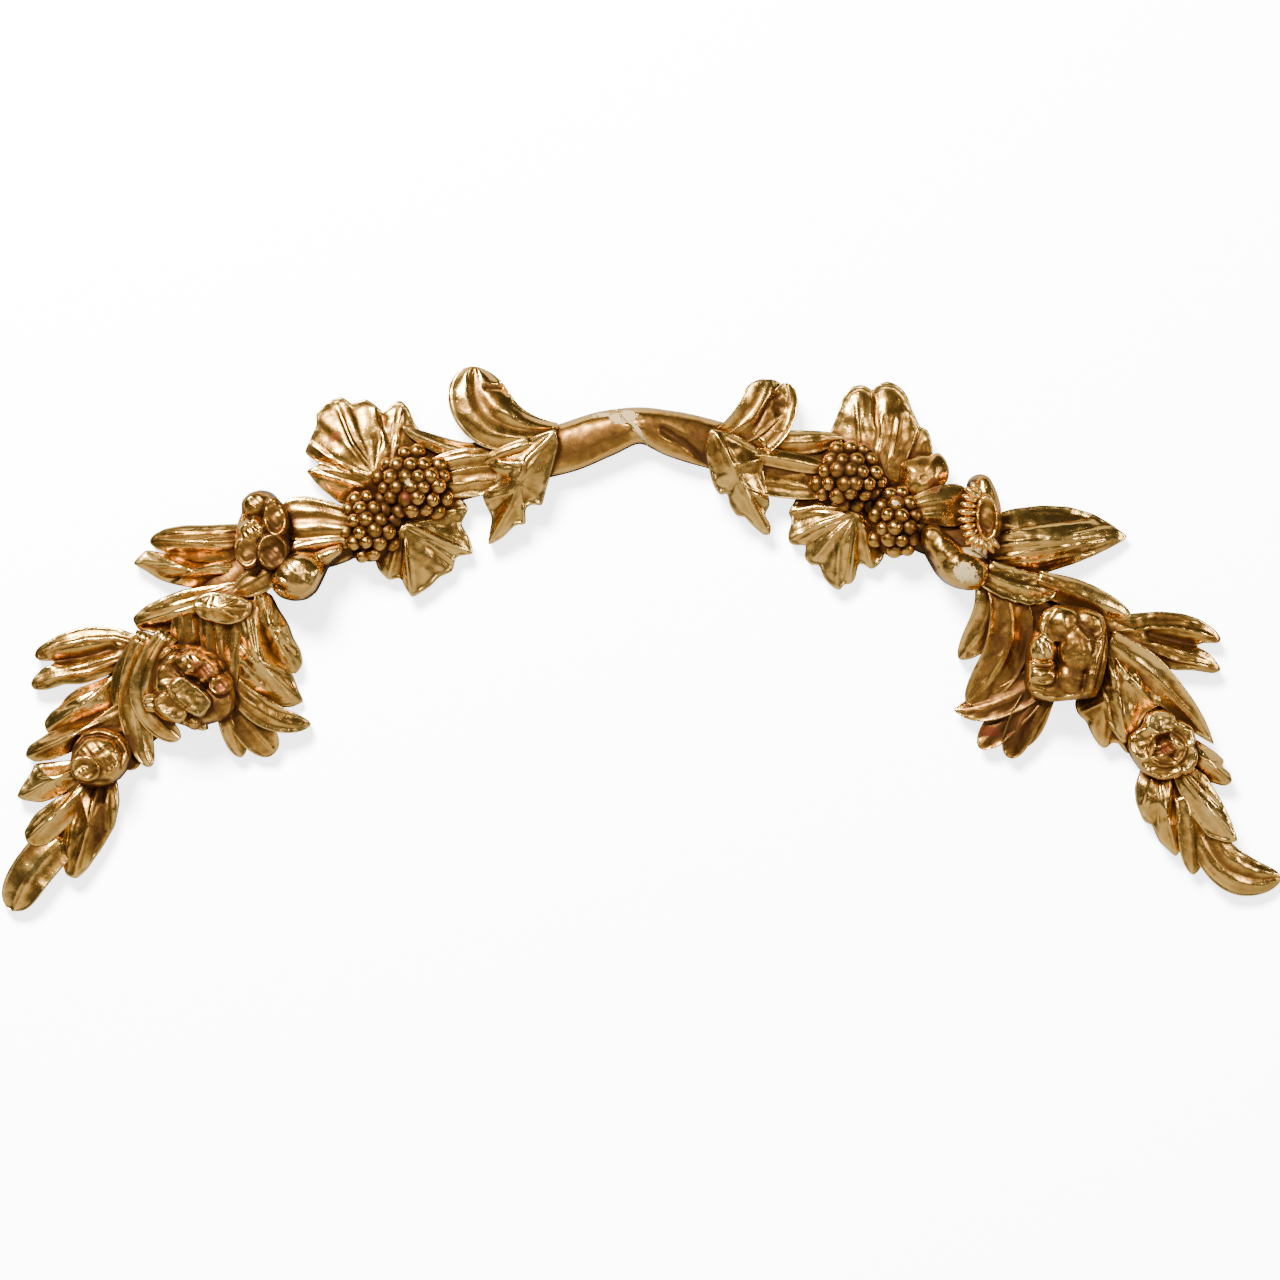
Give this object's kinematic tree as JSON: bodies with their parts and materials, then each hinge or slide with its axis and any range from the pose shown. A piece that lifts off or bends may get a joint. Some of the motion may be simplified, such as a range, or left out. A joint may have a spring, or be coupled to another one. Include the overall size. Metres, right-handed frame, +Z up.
{
  "type": "carved frieze",
  "caption": "Arched garland frieze of carved and gilded wood, with vine leaves, bunches of grapes, flowers and seed pods, flat at the back and held on a wall.",
  "frame": {"origin": "on the flat back of the stem, at the crown of the arch, where the frieze is fixed to the wall", "axes": "+Z up, +X to the viewer's right along the span, +Y into the wall: the carving faces -Y and its back lies in y = 0"},
  "size_m": [1.1019, 0.06, 0.4685],
  "materials": {
    "left_branch": "water-gilded over red bole and gesso, burnished, rubbed and darkened in the recesses",
    "right_branch": "water-gilded over red bole and gesso, burnished, rubbed and darkened in the recesses"
  },
  "bodies": {
    "root": {"left_branch": "left_branch", "right_branch": "right_branch"}
  },
  "joints": []
}
